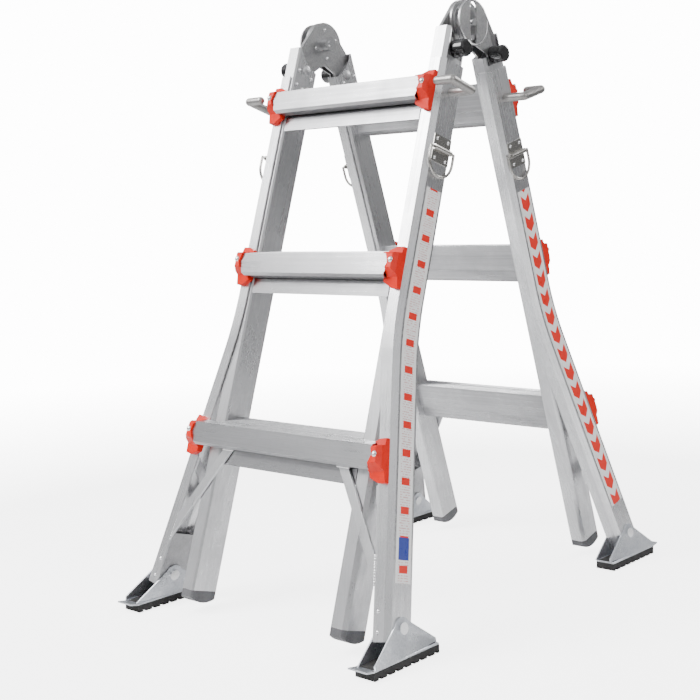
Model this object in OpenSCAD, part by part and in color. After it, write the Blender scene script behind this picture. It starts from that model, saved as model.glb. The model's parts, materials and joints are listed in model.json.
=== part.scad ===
// Multi position ladder: two telescoping sections joined by a pair of folding hinges.
// Standing as a step ladder with both sections fully nested.
// +X runs along the rungs, -Y is the front section, +Z is up, and the floor is Z = 0.
// Each section is drawn in its own frame: the origin is the hinge axis, s runs down the
// rails and n points out of the section's climbing face.

/* [Stance] */
// Angle between each section and the vertical, in degrees
lean = 17; // [13:0.5:21]
// Half of the width over the outer rails at the top
half_width = 200; // [165:0.5:240]
// Distance between rungs, along the rails
rung_pitch = 304.8; // [250:0.1:370]
// Hinge axis to the first rung's front edge
first_rung = 131; // [125:160]
// Last rung's front edge to the lower end of the outer rail
rail_tail = 282; // [250:340]

/* [Outer rail] */
// Depth of the channel, front flange to rear flange
rail_depth = 61.6; // [52:0.1:74]
// Width of the channel, web to flange tips
rail_width = 29.5; // [26:0.1:36]
// Wall of the channel
rail_wall = 2.6; // [2:0.1:3.2]
// Leg of the 45 degree shoulder between web and flanges
shoulder = 8.5; // [6:0.1:10]
// Hinge plane to the front flange's outer face
rail_front = 66.5; // [62:0.1:80]
// Hinge axis to the upper end of the outer rail
outer_top = 90; // [88:100]
// Outward lean of the rail's lower end, in degrees
flare = 10.5; // [8:0.5:12.5]
// Radius of the bend, at the web
bend_radius = 600; // [450:700]
// Middle rung's front edge to the start of the bend
bend_start = 62; // [58:80]

/* [Inner rail] */
// Gap between the inner rail and the channel all round
slide_gap = 1.0; // [0.6:0.1:1.4]
// Width of the inner box rail
inner_width = 33; // [28:0.1:36]
// Wall of the inner box rail
inner_wall = 2.4; // [2:0.1:3]
// Hinge axis to the inner rail's top
inner_top = 31; // [28:36]
// Depth of the round cut at the inner rail's top
mitre = 36; // [30:44]
// Height of the moulded cap on the inner rail's lower end
cap_height = 20; // [14:26]

/* [Rungs] */
// Hinge plane to the front face of the outer rungs
rung_front = 90; // [86:0.5:98]
// Height of the outer rung's flat front band
rung_band = 35; // [30:38]
// Height of the outer rung below its front band
rung_skirt = 4; // [3:8]
// Wall of both rung profiles
rung_wall = 2.2; // [1.6:0.1:3]
// Overhang of the middle and top outer rungs inside the web
rung_inset = 20; // [18:24]

/* [Rung brackets] */
// Thickness of the bracket in front of the rung's face
bracket_lip = 4; // [3:6]
// Height of the bracket's nose
nose_h = 24; // [20:28]
// Height of each bracket wing above and below its body
bracket_wing = 15; // [12:22]
// How far the wings stand off the flange
wing_depth = 10; // [8:14]

/* [Hinge] */
// Radius of the large hinge discs
hinge_r = 41; // [38:44]
// Radius of the cage disc between the plates
cage_r = 36; // [30:38]
// Radius of the hinge pin
pin_r = 6; // [5:0.5:8]
// Thickness of the cast inner cheek
cheek_in = 6; // [4:0.5:7]
// Thickness of the hinge's middle plate
plate_t = 4.5; // [3:0.5:5]
// Thickness of the outer cheek and of the cage disc
cheek_out = 3; // [2:0.5:4]
// Side play between the moving plate and its neighbours
hinge_play = 0.6; // [0.4:0.1:1]
// Depth of the hinge arms inside the rails, from the hinge axis
arm_end = 132; // [120:150]

/* [Locks] */
// Radius of the round lock knobs
knob_r = 15; // [12:0.5:17]
// Length of the round lock knobs
knob_len = 27; // [20:32]
// Travel of the lock knobs
knob_travel = 10; // [6:12]
// Radius of the lock tab's bar
tab_r = 7.5; // [5:0.5:8]
// Web to the centre of the lock tab's cross bar
tab_reach = 44; // [36:52]
// Length of the lock tab's cross bar
tab_cross = 52; // [46:64]
// Length of the lock tab's finger bar
tab_finger = 30; // [22:33]

/* [Tie ring] */
// Width of the strap that holds the ring
strap_w = 44; // [34:44]
// Height of the strap
strap_h = 46; // [40:54]
// Thickness of the strap
strap_t = 1.6; // [1.2:0.1:2.4]
// Radius of the ring's wire
ring_wire = 2.4; // [1.8:0.1:2.8]
// Straight legs of the ring above its bow
ring_leg = 17; // [8:20]

/* [Shoes] */
// Thickness of the ribbed sole
sole_h = 13; // [10:18]
// Thickness of the shoe's sheet metal
shoe_t = 2.5; // [2:0.1:3]
// Length of the shoe's side plates along the floor
shoe_len = 146; // [130:160]
// Front lip of the base plate ahead of the side plates
shoe_lip = 16; // [10:22]
// Radius of the rounded top of the side plates
shoe_top_r = 17; // [15:20]
// Radius of the shoe's bolt
bolt_r = 5; // [4:0.5:6]
// Bolt to the end of the outer rail
bolt_up = 20; // [19:26]
// Space between the rail's end and the base plate
foot_gap = 7; // [5:12]
// Length of the plug inside the rail's lower end
plug_len = 92; // [80:110]

/* [Braces] */
// Width of the brace bars
brace_w = 18; // [14:22]
// Thickness of the brace bars
brace_t = 5; // [4:8]

/* [Hidden] */
$fn = 64;

// Clearances
fit = 0.05;       // radial, on pins and bolts
seat = 0.3;       // between pieces that move past each other
tuck = 0.2;       // between a moulding and what it holds

// Places along the rails
rung_count = 3;
rungs = [for (k = [0 : rung_count - 1]) first_rung + k * rung_pitch];
last_rung = rungs[rung_count - 1];
bend_s = rungs[1] + bend_start;
rail_end = last_rung + rail_tail;
lock_s = first_rung + 12;
strap_s = lock_s + 102;

// Faces of the rails
web_in = half_width - rail_wall;
lip_x = half_width - rail_width;
rail_rear = rail_front - rail_depth;
rail_mid = (rail_front + rail_rear) / 2;
box_out = web_in - slide_gap;
box_in = box_out - inner_width;
box_front = rail_front - rail_wall - slide_gap;
box_rear = rail_rear + rail_wall + slide_gap;
bore_out = box_out - inner_wall;
bore_in = box_in + inner_wall;
turn = tan(22.5);

// Flared lower end of the outer rail
bend_x = bend_radius * (1 - cos(flare));
bend_drop = bend_radius * sin(flare);
flare_len = (rail_end - bend_s - bend_drop) / cos(flare);
function flare_x(x, t) = half_width + bend_x + (x - half_width) * cos(flare) + t * sin(flare);
function flare_s(x, t) = bend_s + bend_drop - (x - half_width) * sin(flare) + t * cos(flare);

// Height of the hinge axis, so that the soles stand on the floor
end_s = flare_s(lip_x, flare_len);
pivot_z = sole_h + shoe_t + foot_gap + cos(lean) * end_s - sin(lean) * rail_rear;
function world_y(s, n) = -(sin(lean) * s + cos(lean) * n);
function world_z(s, n) = pivot_z - cos(lean) * s + sin(lean) * n;

// The bolt of each shoe
bolt_t = flare_len - bolt_up;
bolt_x = (lip_x + half_width) / 2;
bolt_world = [flare_x(bolt_x, bolt_t), world_y(flare_s(bolt_x, bolt_t), rail_mid),
    world_z(flare_s(bolt_x, bolt_t), rail_mid)];

// Hinge stack, from the inside of each rail outwards
cheek_x = bore_in;
plate_x = cheek_x + cheek_in + hinge_play;
cage_x = plate_x + plate_t + hinge_play;
outer_cheek_x = bore_out - cheek_out;
spacer_ring = cage_r - 10;
knob_s = 64;
knob_n = rail_mid;

aluminium = [0.78, 0.78, 0.79];
bright = [0.9, 0.9, 0.9];
steel = [0.6, 0.6, 0.6];
zinc = [0.66, 0.68, 0.71];
red = [0.93, 0.18, 0.06];
black = [0.06, 0.06, 0.06];

// ---- placing -------------------------------------------------------------
module front() { translate([0, 0, pivot_z]) rotate([-lean, 0, 0]) children(); }
module rear() { mirror([0, 1, 0]) front() children(); }
module left() { mirror([1, 0, 0]) children(); }
module both() { children(); left() children(); }

// Outline given as [n, s] points, extruded from x0 to x1
module across(x0, x1, pts) {
    translate([x0, 0, 0]) rotate([90, 0, 90])
        linear_extrude(x1 - x0) polygon([for (p = pts) [-p[0], -p[1]]]);
}

// Outline given as [x, n] points, extruded down the rail from s0 to s1
module down(s0, s1, pts) {
    translate([0, 0, -s1]) linear_extrude(s1 - s0) polygon([for (p = pts) [p[0], -p[1]]]);
}

// Round bar along X, at station s and height n
module bar_x(x0, x1, s, n, r) {
    translate([x0, -n, -s]) rotate([0, 90, 0]) cylinder(h = x1 - x0, r = r);
}

// Round bar along n, from n0 to n1
module bar_n(x, s, n0, n1, r) {
    translate([x, -n0, -s]) rotate([90, 0, 0]) cylinder(h = n1 - n0, r = r);
}

// The frame of the flared end: the straight rail carries on down it
module flared() {
    translate([half_width + bend_x, 0, -(bend_s + bend_drop)]) rotate([0, -flare, 0])
        translate([-half_width, 0, 0]) children();
}

// Rivet head standing on a face, its shank going down into it
module rivet(head_r, shank_r, shank) {
    intersection() {
        translate([0, 0, -head_r * 0.6]) sphere(r = head_r * 1.166, $fn = 32);
        cylinder(h = head_r, r = head_r);
    }
    translate([0, 0, -shank]) cylinder(h = shank, r = shank_r);
}

// ---- outer section -------------------------------------------------------
// Outline of the channel in [x, n], with every wall thinned by e on both faces
function channel(e = 0) = let (w = rail_wall - e, x = lip_x + e, c = half_width - shoulder,
    f = rail_front, r = rail_rear, s = shoulder)
    [[x, f - e], [c - e * turn, f - e], [half_width - e, f - s - e * turn],
    [half_width - e, r + s + e * turn], [c - e * turn, r + e], [x, r + e], [x, r + w],
    [c - w * turn, r + w], [half_width - w, r + s + w * turn],
    [half_width - w, f - s - w * turn], [c - w * turn, f - w], [x, f - w]];

// The straight lengths run on over the ends of the bend, which is a hair thinner
bend_lap = 6;
bend_skin = 0.05;

// Outline in [x, n], carried round the rail's bend
module bent(pts) {
    centre_x = half_width + bend_radius;
    translate([centre_x, 0, -bend_s]) rotate([90, 180, 0])
        rotate_extrude(angle = flare, $fn = 96)
            polygon([for (p = pts) [centre_x - p[0], p[1]]]);
}

strap_rivets = [for (a = [-1, 1], b = [-1, 1])
    [rail_mid + a * (strap_w / 2 - 8), strap_s + b * (strap_h / 2 - 6.5)]];
plug_rivets = [flare_len - 14, flare_len - 44];
bracket_rivet_s = 11;
bracket_rivet_x = half_width - rung_inset + 4;
rivet_r = 3;
small_rivet_r = 2;

module outer_rail() {
    color(aluminium) difference() {
        union() {
            down(outer_top, bend_s + bend_lap, channel());
            bent(channel(bend_skin));
            flared() down(-bend_lap, flare_len, channel());
        }
        bar_x(web_in - 1, half_width + 1, lock_s, rail_mid, guide_r + fit);
        for (p = strap_rivets)
            bar_x(web_in - 1, half_width + 1, p[1], p[0], small_rivet_r + fit);
        for (k = [0, 1])
            bar_n(bracket_rivet_x, rungs[k] + bracket_rivet_s, box_front, rail_front + 1,
                rivet_r + fit);
        last_bracket() bar_n(bracket_rivet_x, bracket_rivet_s, box_front, rail_front + 1,
            rivet_r + fit);
        flared() {
            bar_x(web_in - 1, half_width + 1, bolt_t, rail_mid, bolt_r + fit);
            for (t = plug_rivets) bar_n(plug_rivet_x, t, box_front, rail_front + 1,
                small_rivet_r + fit);
        }
    }
}

// Outline of the outer rung around its front edge, in [n, s]
tread_slope = tan(lean);
rung_back = rail_front + 1.5;
function outer_rung(t) = let (k = t * turn)
    [[rung_front - t, t - t * tread_slope * 0.5], [rung_front - t, rung_band - k * 0.6],
    [rung_front - 6 - t * 0.5, rung_band + rung_skirt - t],
    [rung_back + t, rung_band + rung_skirt - t],
    [rung_back + t, t * 1.1 - (rung_front - rung_back) * tread_slope]];

// Outline of the rung's end seen from the front, in [x, s]
function rung_point(k) = half_width - rung_inset - 2 + (k == rung_count - 1 ? flare_reach : 0);
flare_reach = flare_x(half_width, (last_rung + 15 - bend_s - bend_drop) / cos(flare))
    - half_width;

module rung_end(point, gap) {
    top = 22;
    low = rung_band + rung_skirt + 12;
    mid = 15;
    rotate([90, 0, 0]) translate([0, 0, -200]) linear_extrude(400)
        polygon([[-point - gap, -mid], [-point + 15 - gap, top], [point - 15 + gap, top],
            [point + gap, -mid], [point - 14 + gap, -low], [-point + 14 - gap, -low]]);
}

module outer_rung_bar(k, gap = 0) {
    translate([0, 0, -rungs[k]]) intersection() {
        across(-rung_point(k) - 5, rung_point(k) + 5, outer_rung(-gap));
        rung_end(rung_point(k), gap);
    }
}

module outer_rungs() {
    color(aluminium) for (k = [0 : rung_count - 1]) difference() {
        outer_rung_bar(k);
        translate([0, 0, -rungs[k]]) across(-rung_point(k) - 6, rung_point(k) + 6,
            outer_rung(rung_wall));
    }
}

// The last bracket follows the flared rail
module last_bracket() {
    translate([half_width + flare_reach, 0, -last_rung - 15]) rotate([0, -flare, 0])
        translate([-half_width, 0, 15]) children();
}

// A nose round the rung's rivet, which slopes back to a wing below and steps to one above
module bracket_block() {
    skin = half_width - shoulder + 1;
    low = rung_band + rung_skirt + bracket_wing;
    face = rung_front + bracket_lip;
    root = half_width - rung_inset - 17;
    foot = rail_front + tuck;
    wing = foot + wing_depth;
    intersection() {
        across(root, skin, [[foot, -bracket_wing], [wing - 2, -bracket_wing],
            [wing + 1, -4], [face - 3, -2], [face, 1], [face, nose_h],
            [wing + 2, nose_h + 13], [wing - 1, low], [foot, low]]);
        down(-bracket_wing - 1, low + 1, [[root - 1, foot - 1], [skin, foot - 1], [skin, face - 9],
            [skin - 6, face + 1], [root - 1, face + 1]]);
    }
}

module bracket(k) {
    difference() {
        union() if (k == rung_count - 1) last_bracket() bracket_block();
            else translate([0, 0, -rungs[k]]) bracket_block();
        outer_rung_bar(k, tuck);
        // the rung's face stays open in front, up to its pointed end
        translate([0, 0, -rungs[k]]) intersection() {
            rung_end(rung_point(k), tuck);
            translate([-300, -rung_front - 20, -100]) cube([600, 21, 200]);
        }
        if (k == rung_count - 1) last_bracket() bracket_cuts();
        else translate([0, 0, -rungs[k]]) bracket_cuts();
    }
}

// The bracket's rivet hole and the slopes that end its wings
module bracket_cuts() {
    bar_n(bracket_rivet_x, bracket_rivet_s, 0, 200, rivet_r + fit);
    root = half_width - rung_inset - 21;
    low = rung_band + rung_skirt + bracket_wing;
    for (e = [[-bracket_wing - 1, -bracket_wing + 9], [low + 1, low - 12]])
        rotate([90, 0, 0]) linear_extrude(300, center = true)
            polygon([[root, -e[0]], [root + 22, -e[0]], [root, -e[1]]]);
}

module rung_brackets() { color(red) both() for (k = [0 : rung_count - 1]) bracket(k); }

// Braces: flat bars from under the last rung out to both flanges of each rail
brace_root = half_width - 62;
brace_foot_t = flare_len - 100;
brace_n = box_front + slide_gap + 0.1;
module braces() {
    color(aluminium) both() {
        brace();
        brace_rear();
    }
}

module brace() {
    top_s = last_rung + rung_band + rung_skirt;
    edge = [for (t = [brace_foot_t - 26, brace_foot_t + 16])
        [flare_x(lip_x - 0.1, t), -flare_s(lip_x - 0.1, t)]];
    foot = [edge[1][0], -edge[1][1]];
    run = [foot[0] - brace_root, foot[1] - top_s];
    slant = atan2(run[0], run[1]);
    half = brace_w / 2 / cos(slant);
    rotate([90, 0, 0]) translate([0, 0, brace_n]) linear_extrude(brace_t)
        polygon([[brace_root - half, -top_s], [brace_root + half, -top_s], edge[0], edge[1]]);
}

// The rear brace ties the flared rail's two flanges to the bracket above
module brace_rear() {
    flared() {
        t0 = flare_len - 232;
        translate([lip_x - brace_t - tuck, 0, 0]) across(0, brace_t,
            [[rail_front - 2, t0], [rail_front - 2, t0 + brace_w * 1.3],
            [rail_rear + 2, t0 + 92], [rail_rear + 2, t0 + 92 - brace_w * 1.3]]);
    }
}

// Plug in the rail's lower end, which carries the shoe's bolt
plug_rivet_x = lip_x + 9;
module rail_plugs() {
    color(aluminium) both() flared() difference() {
        down(flare_len - plug_len, flare_len - 1, let (g = tuck, w = rail_wall + tuck,
            c = shoulder, k = (rail_wall + tuck) * turn)
            [[lip_x + 1, rail_front - w], [half_width - c - k, rail_front - w],
            [half_width - w, rail_front - c - k], [half_width - w, rail_rear + c + k],
            [half_width - c - k, rail_rear + w], [lip_x + 1, rail_rear + w]]);
        down(flare_len - plug_len - 1, flare_len - 2 * bolt_up,
            [[lip_x + 4, rail_front - 12], [half_width - 8, rail_front - 12],
            [half_width - 8, rail_rear + 12], [lip_x + 4, rail_rear + 12]]);
        bar_x(lip_x, half_width, bolt_t, rail_mid, bolt_r + fit);
        for (t = plug_rivets)
            bar_n(plug_rivet_x, t, rail_front - 20, rail_front, small_rivet_r + fit);
    }
}

// Strap over the ring's straight bar
strap_face = half_width;
ring_x = half_width + strap_t + ring_wire + 0.4;
module tie_straps() {
    color(steel) both() difference() {
        union() {
            strap_plate();
            bar_n(ring_x, strap_s, rail_mid - strap_w / 2, rail_mid + strap_w / 2,
                ring_wire + 0.4 + strap_t);
        }
        bar_n(ring_x, strap_s, 0, 200, ring_wire + 0.4);
        translate([half_width - 20, -100, -strap_s - 20]) cube([20, 100, 40]);
        for (p = strap_rivets)
            bar_x(half_width - 1, half_width + 9, p[1], p[0], small_rivet_r + fit);
    }
}

module strap_plate() {
    across(strap_face, strap_face + strap_t,
        [for (a = [[-1, -1], [1, -1], [1, 1], [-1, 1]])
            [rail_mid + a[0] * strap_w / 2, strap_s + a[1] * strap_h / 2]]);
}

module tie_ring() {
    leg_n = strap_w / 2 + ring_wire + 5;
    color(bright) {
        bar_n(ring_x, strap_s, rail_mid - leg_n, rail_mid + leg_n, ring_wire);
        for (a = [-1, 1]) {
            translate([ring_x, -rail_mid - a * leg_n, -strap_s]) sphere(r = ring_wire);
            translate([ring_x, -rail_mid - a * leg_n, -strap_s - ring_leg])
                cylinder(h = ring_leg, r = ring_wire);
        }
        translate([ring_x, -rail_mid, -strap_s - ring_leg]) rotate([0, 90, 0])
            rotate([0, 0, -90]) rotate_extrude(angle = 180) translate([leg_n, 0])
                circle(r = ring_wire);
    }
}

module rivets() {
    color(bright) both() {
        for (k = [0, 1]) translate([0, 0, -rungs[k]]) bracket_rivet();
        last_bracket() bracket_rivet();
        for (p = strap_rivets) translate([half_width + strap_t, -p[0], -p[1]])
            rotate([0, 90, 0]) rivet(3.2, small_rivet_r, rail_wall + strap_t + 0.2);
        flared() for (t = plug_rivets) translate([plug_rivet_x, -rail_front, -t])
            rotate([90, 0, 0]) rivet(3.4, small_rivet_r, rail_wall + 8);
    }
}

module bracket_rivet() {
    face = rung_front + bracket_lip;
    translate([bracket_rivet_x, -face, -bracket_rivet_s]) rotate([90, 0, 0])
        rivet(5, rivet_r, face - rail_front + rail_wall);
}

// Label strips on the right-hand webs
label_w = 36;
label_t = 0.3;
module labels() {
    color("white") {
        down(strap_s + strap_h / 2 + 45, bend_s + bend_lap, label_strip(0));
        bent(label_strip(bend_skin));
        flared() down(-bend_lap, flare_len - 85, label_strip(0));
    }
}

function label_strip(e) = [for (a = [[0, 0], [1, 0], [1, 1], [0, 1]])
    [half_width + e * 0.4 + a[0] * (label_t - e * 1.4),
    rail_mid - label_w / 2 + e + a[1] * (label_w - 2 * e)]];

// ---- inner section -------------------------------------------------------
// Box rail outline in [x, n], shrunk by t
function box(t) = let (a = shoulder - 0.5858 * (rail_wall + slide_gap + t),
    b = 3 - 0.5858 * t, x0 = box_in + t, x1 = box_out - t, n0 = box_rear + t,
    n1 = box_front - t)
    [[x0, n0 + b], [x0 + b, n0], [x1 - a, n0], [x1, n0 + a], [x1, n1 - a], [x1 - a, n1],
    [x0 + b, n1], [x0, n1 - b]];

hinge_rivets = [[box_rear + 13, arm_end - 52], [box_rear + 16, arm_end - 31],
    [box_rear + 30, arm_end - 26], [box_front - 9, arm_end - 30],
    [box_front - 9, arm_end - 58]];

module inner_rail() {
    color(aluminium) difference() {
        down(inner_top, rail_end, box(0));
        down(inner_top - 1, rail_end + 1, box(inner_wall));
        // top cut back round the hinge discs
        bar_x(box_in - 1, box_out + 1, 0, 0, inner_top + mitre - 1);
        // window in the outer wall, where the knob sits on the hinge
        across(bore_out - 0.01, box_out + 1, [[box_front - 9, inner_top - 2],
            [box_front - 9, knob_s + knob_r + 2], [box_rear - 1, knob_s + knob_r + 2],
            [box_rear - 1, inner_top]]);
        for (p = hinge_rivets) bar_x(box_in - 1, bore_in + 1, p[1], p[0],
            small_rivet_r + 0.5 + fit);
    }
}

// Inner rung outline around the outer rung's front edge, shrunk by t
function inner_rung(t) = let (top = -(rung_front - box_front) * tread_slope, d = box_front - 22)
    [[box_front - 0.6 - t, top + 1.3 * t], [22 + t, top - d * tread_slope + 1.3 * t],
    [22 + t, 28 - t * 0.3], [27 + t, 30 - t * 0.3], [27 + t, 50 - t * 0.5],
    [33 + t, 55 - t], [box_front - 0.6 - t, 66 - t * 1.4], [box_front - 0.6 - t, 39 + t],
    [50 - t, 35 + t * 0.4], [50 - t, 8 - t], [box_front - 0.6 - t, 5 - t]];

module inner_rungs() {
    color(aluminium) for (k = [0 : rung_count - 1]) translate([0, 0, -rungs[k]])
        difference() {
            across(-box_in, box_in, inner_rung(0));
            across(-box_in - 1, box_in + 1, inner_rung(rung_wall));
        }
}

module inner_caps() {
    color(steel) both() difference() {
        union() {
            down(rail_end + 0.02, rail_end + cap_height, box(0));
            down(rail_end - 30, rail_end + 1, box(inner_wall + tuck));
        }
        // convex sole
        difference() {
            across(box_in - 1, box_out + 1, [[box_rear - 1, rail_end + 6],
                [box_front + 1, rail_end + 6], [box_front + 1, rail_end + 40],
                [box_rear - 1, rail_end + 40]]);
            bar_x(box_in - 2, box_out + 2, rail_end + cap_height - 48,
                (box_front + box_rear) / 2, 48);
        }
    }
}

// ---- hinge ---------------------------------------------------------------
// Outline of a plate's arm in [n, s], kept g away from the rail's front and rear walls
function arm(g) = [[-6, 40.5 * hinge_r / 41], [hinge_r * 0.88, -hinge_r * 0.47],
    [box_front - g, inner_top + 3], [box_front - g, arm_end], [box_rear + g, arm_end],
    [box_rear + g, inner_top + mitre - 6]];

module hinge_plate(x0, t, r, g = inner_wall + 2) {
    bar_x(x0, x0 + t, 0, 0, r);
    across(x0, x0 + t, arm(g));
}

module rivet_holes() {
    for (p = hinge_rivets) bar_x(bore_in - 0.1, bore_in + 4, p[1], p[0],
        small_rivet_r + 0.5 + fit);
}

// The front half is the inner cheek, with a cast block inside the rail
module front_hinge_half() {
    color(steel) difference() {
        union() {
            hinge_plate(cheek_x, cheek_in, hinge_r);
            hinge_block();
        }
        bar_x(0, box_out, 0, 0, pin_r + fit);
        bar_x(pin_tip - seat, box_out + 1, knob_s, knob_n, pin_bore + fit);
        rivet_holes();
    }
}

// Block that fills the rail between the walls, below the round cut
module hinge_block() {
    g = inner_wall + shoulder;
    across(bore_in, bore_out, [[box_rear + g, inner_top + mitre], [box_rear + g, arm_end - 4],
        [box_front - g, arm_end - 4], [box_front - g, inner_top + 14]]);
}

// The rear half is the middle plate and the outer cheek
module rear_hinge_half() {
    color(steel) difference() {
        union() {
            hinge_plate(plate_x, plate_t, hinge_r);
            hinge_plate(outer_cheek_x, cheek_out, hinge_r - 1, inner_wall + shoulder);
            hinge_block();
        }
        bar_x(0, box_out, 0, 0, pin_r + fit);
        bar_x(pin_tip - seat, box_out + 1, knob_s, knob_n, pin_bore + fit);
        rivet_holes();
        cheek_window();
    }
}

// Upright window in the outer cheek, where the pin and spacers show
module cheek_window() {
    half = 9;
    reach = spacer_ring + 1;
    rotate([lean, 0, 0]) {
        translate([outer_cheek_x - 1, -half, -reach]) cube([cheek_out + 2, half * 2, reach * 2]);
        for (z = [-reach, reach])
            translate([outer_cheek_x - 1, 0, z]) rotate([0, 90, 0]) cylinder(h = cheek_out + 2, r = half);
    }
}

// Pivot pins, inner bosses, cage discs and spacers, all carried by the rear half
module hinge_pins() {
    color(bright) both() rear() {
        bar_x(cheek_x - 16, cage_x + cheek_out, 0, 0, pin_r);
        difference() {
            bar_x(cheek_x - 14, cheek_x - seat, 0, 0, pin_r + 7);
            bar_x(cheek_x - 15, cheek_x, 0, 0, pin_r);
        }
        bar_x(cage_x + cheek_out, outer_cheek_x, 0, 0, pin_r - 1);
        bar_x(outer_cheek_x, bore_out + 1.5, 0, 0, pin_r);
        difference() {
            bar_x(cage_x, cage_x + cheek_out, 0, 0, cage_r);
            bar_x(cage_x - 1, cage_x + cheek_out + 1, 0, 0, pin_r);
        }
        for (a = [-1, 1]) bar_x(cage_x + cheek_out, outer_cheek_x,
            -a * spacer_ring * cos(lean), a * spacer_ring * sin(lean), 4.5);
    }
}

module hinge_rivet_set() {
    color(bright) both() for (p = hinge_rivets) translate([box_in, -p[0], -p[1]])
        rotate([0, -90, 0]) rivet(3.8, small_rivet_r + 0.5, inner_wall + 3);
}

// ---- locks ---------------------------------------------------------------
pin_bore = 5;
pin_tip = bore_out - knob_travel - 8;
module lock_knob() {
    x0 = bore_out + seat;
    color(black) difference() {
        translate([x0, -knob_n, -knob_s]) rotate([0, 90, 0]) rotate_extrude()
            polygon([[0, 0], [knob_r - 1.5, 0], [knob_r, 1.5], [knob_r, knob_len - 4],
                [knob_r - 1.2, knob_len - 1.2], [knob_r - 4, knob_len], [0, knob_len]]);
        bar_x(x0 - 1, x0 + knob_len - 6, knob_s, knob_n, pin_bore + 0.02);
    }
}

module knob_pin() {
    color(bright) bar_x(pin_tip, bore_out + knob_len - 6, knob_s, knob_n, pin_bore);
}

// J shaped lock tab: hollow shaft on its guide, cross bar and finger bar
module lock_tab() {
    x1 = half_width + tab_reach;
    n1 = rail_mid + tab_cross;
    color(steel) difference() {
        union() {
            bar_x(half_width + seat, x1, lock_s, rail_mid, tab_r);
            translate([x1, -rail_mid, -lock_s]) sphere(r = tab_r);
            bar_n(x1, lock_s, rail_mid, n1, tab_r);
            translate([x1, -n1, -lock_s]) sphere(r = tab_r);
            bar_x(x1 - tab_finger, x1, lock_s, n1, tab_r);
            translate([x1 - tab_finger, -n1, -lock_s]) sphere(r = tab_r);
        }
        bar_x(half_width, guide_x + 2, lock_s, rail_mid, guide_r + fit);
    }
}

// Pin fixed in the web that guides the tab
guide_r = 4;
guide_x = half_width + tab_reach - 12;
module lock_guides() {
    color(bright) both() bar_x(web_in, guide_x, lock_s, rail_mid, guide_r);
}

// ---- shoes ---------------------------------------------------------------
shoe_out = half_width + seat + shoe_t;
shoe_in = lip_x - seat - shoe_t;
base_z = sole_h + shoe_t;
// Where a plate at station x of the flared frame meets the base plate
function plate_foot(x) = let (s = (pivot_z - base_z + sin(lean) * rail_mid) / cos(lean))
    flare_x(x, (s - flare_s(x, 0)) / cos(flare));

module shoe_plate(x0) {
    rise = bolt_world[2] - base_z;
    len = shoe_len / 2;
    in_rail() rotate([lean, 0, 0]) rotate([90, 0, 90]) translate([0, 0, x0])
        linear_extrude(shoe_t) union() {
            circle(r = shoe_top_r);
            polygon([[-shoe_top_r * 0.86, shoe_top_r * 0.5], [shoe_top_r * 0.86, shoe_top_r * 0.5],
                [len, -rise + 3], [len, -rise - 12], [-len, -rise - 12], [-len, -rise + 3]]);
        }
}

// Frame of the shoe's bolt inside a section: x stays the flared rail's x
module in_rail() { flared() translate([0, -rail_mid, -bolt_t]) children(); }

module shoe_shell() {
    x0 = plate_foot(shoe_in) - 1;
    x1 = plate_foot(shoe_out) + 1;
    y0 = bolt_world[1] - shoe_len / 2;
    difference() {
        front() union() {
            shoe_plate(shoe_in);
            shoe_plate(shoe_out - shoe_t);
        }
        translate([0, y0 - 60, base_z - shoe_t - 80]) cube([600, 400, 80 + shoe_t / 2]);
        front() in_rail() bar_x(0, 400, 0, 0, bolt_r + fit);
    }
    translate([x0, y0, base_z - shoe_t]) cube([x1 - x0, shoe_len, shoe_t]);
    // front lip, turned up a little
    translate([x0, y0, base_z - shoe_t]) rotate([90, 0, 90])
        linear_extrude(x1 - x0) polygon([[0, 0], [0, shoe_t], [-shoe_lip, shoe_t + 3],
            [-shoe_lip, 3]]);
}

module shoe() { color(zinc) shoe_shell(); }

module sole() {
    x0 = plate_foot(shoe_in) - 2;
    x1 = plate_foot(shoe_out) + 2;
    y0 = bolt_world[1] - shoe_len / 2;
    rib = 9;
    color(black) difference() {
        translate([x0, y0, 0]) cube([x1 - x0, shoe_len, sole_h - 0.02]);
        for (y = [y0 + rib : rib * 2 : y0 + shoe_len - rib])
            translate([x0 - 1, y, -1]) cube([x1 - x0 + 2, rib * 0.6, 5]);
    }
}

module shoe_bolts() {
    x0 = shoe_in - seat;
    x1 = shoe_out + seat;
    color(bright) both() in_rail() {
        bar_x(x0, x1, 0, 0, bolt_r);
        bar_x(x0 - 3, x0, 0, 0, bolt_r + 4);
        bar_x(x1, x1 + 3, 0, 0, bolt_r + 4);
    }
}

front() left() outer_rail();  // front_outer_rail_left
front() outer_rail();  // front_outer_rail_right
front() outer_rungs();  // front_outer_rungs
front() rung_brackets();  // front_rung_brackets
front() braces();  // front_braces
front() rail_plugs();  // front_rail_plugs
front() tie_straps();  // front_tie_straps
front() rivets();  // front_rivets
front() labels();  // front_labels
front() left() inner_rail();  // front_inner_rail_left
front() inner_rail();  // front_inner_rail_right
front() inner_rungs();  // front_inner_rungs
front() inner_caps();  // front_inner_caps
front() both() front_hinge_half();  // front_hinge_halves
front() hinge_rivet_set();  // front_hinge_rivets
left() shoe();  // front_shoe_left
shoe();  // front_shoe_right
left() sole();  // front_sole_left
sole();  // front_sole_right
front() shoe_bolts();  // front_shoe_bolts
front() lock_guides();  // front_lock_guides
front() left() tie_ring();  // front_tie_ring_left
front() tie_ring();  // front_tie_ring_right
front() left() lock_knob();  // front_lock_knob_left
front() lock_knob();  // front_lock_knob_right
front() left() lock_tab();  // front_lock_tab_left
front() lock_tab();  // front_lock_tab_right
rear() left() outer_rail();  // rear_outer_rail_left
rear() outer_rail();  // rear_outer_rail_right
rear() outer_rungs();  // rear_outer_rungs
rear() rung_brackets();  // rear_rung_brackets
rear() braces();  // rear_braces
rear() rail_plugs();  // rear_rail_plugs
rear() tie_straps();  // rear_tie_straps
rear() rivets();  // rear_rivets
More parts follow.
